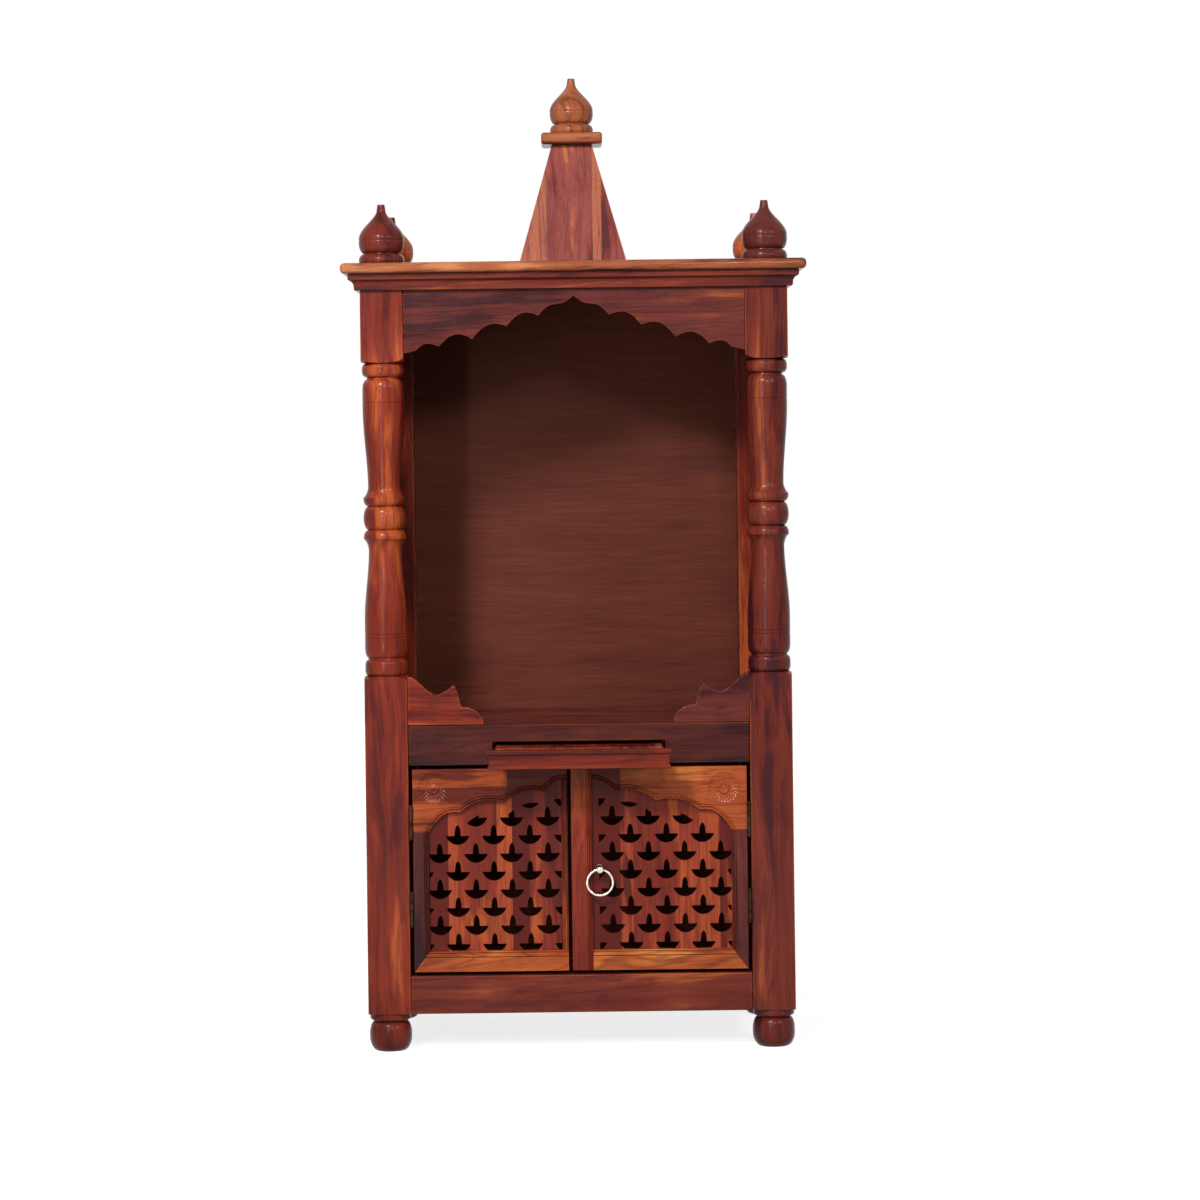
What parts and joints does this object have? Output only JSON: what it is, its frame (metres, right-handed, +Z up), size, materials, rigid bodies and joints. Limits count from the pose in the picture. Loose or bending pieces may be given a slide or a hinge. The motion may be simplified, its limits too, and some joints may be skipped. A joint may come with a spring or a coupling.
{
  "type": "home shrine cabinet",
  "caption": "Wooden home shrine cabinet with turned posts, a scalloped open niche, a tapered tower on top, pierced cupboard doors below and a small sliding tray.",
  "frame": {"origin": "on the floor, under the middle of the whole outline with the tray pulled out as it rests", "axes": "+Z up, -Y towards the front with the doors, +X to the right seen from the front"},
  "size_m": [0.609, 0.428, 1.2887],
  "materials": {
    "dark_wood": "glossy lacquered rosewood, dark",
    "light_wood": "glossy lacquered rosewood, light streaks",
    "back_veneer": "satin veneered board",
    "nickel": "polished nickel",
    "hinge_brass": "dull"
  },
  "bodies": {
    "cabinet": {"back_panel": "back_veneer", "bottom_rail_front": "dark_wood", "bracket_left": "light_wood", "bracket_right": "light_wood", "cabinet_floor": "dark_wood", "cornice_front": "dark_wood", "cornice_left": "dark_wood", "cornice_right": "dark_wood", "finial_front_left": "dark_wood", "finial_front_right": "dark_wood", "finial_rear_left": "dark_wood", "finial_rear_right": "dark_wood", "finial_top": "light_wood", "hinge_left_lower_post_leaf": "hinge_brass", "hinge_left_upper_post_leaf": "hinge_brass", "hinge_right_lower_post_leaf": "hinge_brass", "hinge_right_upper_post_leaf": "hinge_brass", "post_front_left": "dark_wood", "post_front_right": "dark_wood", "post_rear_left": "dark_wood", "post_rear_right": "dark_wood", "shelf_board": "dark_wood", "shelf_rail_front": "dark_wood", "side_panel_left": "dark_wood", "side_panel_right": "dark_wood", "top_slab": "dark_wood", "tower": "dark_wood", "tower_cap": "light_wood", "tray_runner_left": "dark_wood", "tray_runner_right": "dark_wood", "valance_front": "dark_wood"},
    "door_left": {"door_left_outer_stile": "dark_wood", "door_left_meeting_stile": "dark_wood", "door_left_bottom_rail": "dark_wood", "door_left_arch_rail": "dark_wood", "door_left_panel": "light_wood", "hinge_left_upper_door_leaf": "hinge_brass", "hinge_left_lower_door_leaf": "hinge_brass"},
    "door_right": {"door_right_outer_stile": "dark_wood", "door_right_meeting_stile": "dark_wood", "door_right_bottom_rail": "dark_wood", "door_right_arch_rail": "dark_wood", "door_right_panel": "light_wood", "hinge_right_upper_door_leaf": "hinge_brass", "hinge_right_lower_door_leaf": "hinge_brass", "ring_pull_knob": "nickel"},
    "tray": {"tray_front": "light_wood", "tray_board": "dark_wood"},
    "pull_ring": {"pull_ring": "nickel"}
  },
  "joints": [
    {"name": "door_left_hinge", "type": "hinge", "parent": "cabinet", "child": "door_left", "pos_m": [-0.2215, -0.139, 0.24425], "axis": [0, 0, -1], "range_deg": [0, 100]},
    {"name": "door_right_hinge", "type": "hinge", "parent": "cabinet", "child": "door_right", "pos_m": [0.2215, -0.139, 0.24425], "axis": [0, 0, 1], "range_deg": [0, 100]},
    {"name": "tray_slide", "type": "slide", "parent": "cabinet", "child": "tray", "axis": [0, -1, 0], "range_m": [-0.05, 0.06]},
    {"name": "pull_ring_swing", "type": "hinge", "parent": "door_right", "child": "pull_ring", "pos_m": [0.0253, -0.1417, 0.2373], "axis": [-1, 0, 0], "range_deg": [0, 95]}
  ]
}
